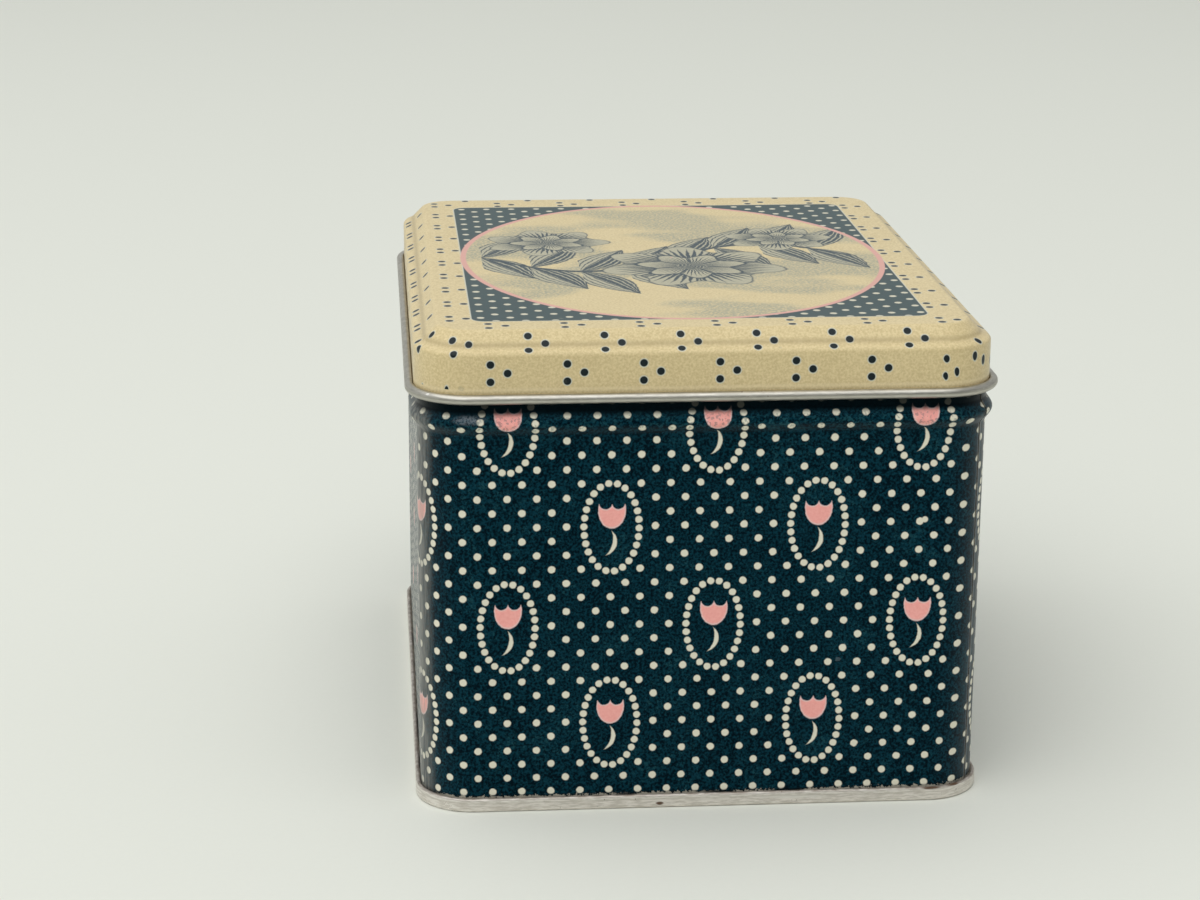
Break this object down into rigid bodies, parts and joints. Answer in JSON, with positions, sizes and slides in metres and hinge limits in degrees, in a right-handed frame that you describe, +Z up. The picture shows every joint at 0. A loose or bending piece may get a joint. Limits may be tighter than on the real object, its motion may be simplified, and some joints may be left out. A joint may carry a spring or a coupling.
{
  "type": "slip-lid tin",
  "caption": "Rectangular storage tin with rounded corners: printed body with stop bead and side lock seam, double-seamed base, and a lift-off lid with raised panel and curled rim.",
  "frame": {"origin": "middle of the footprint, on the surface that the tin stands on", "axes": "+Z up out of the lid, +X to the right along the narrow front, +Y from the front to the back"},
  "size_m": [0.132, 0.163, 0.1102],
  "materials": {
    "body_print": "dark blue-green lithographed print under semi-gloss varnish",
    "tinplate": "bare tinplate, satin, lightly stained",
    "lid_print": "cream lithographed print under semi-gloss varnish"
  },
  "bodies": {
    "box": {"body_wall": "body_print", "base": "tinplate"},
    "lid": {"lid": "lid_print"}
  },
  "joints": [
    {"name": "lid_lift", "type": "slide", "parent": "box", "child": "lid", "axis": [0, 0, 1], "range_m": [0, 0.06]}
  ]
}
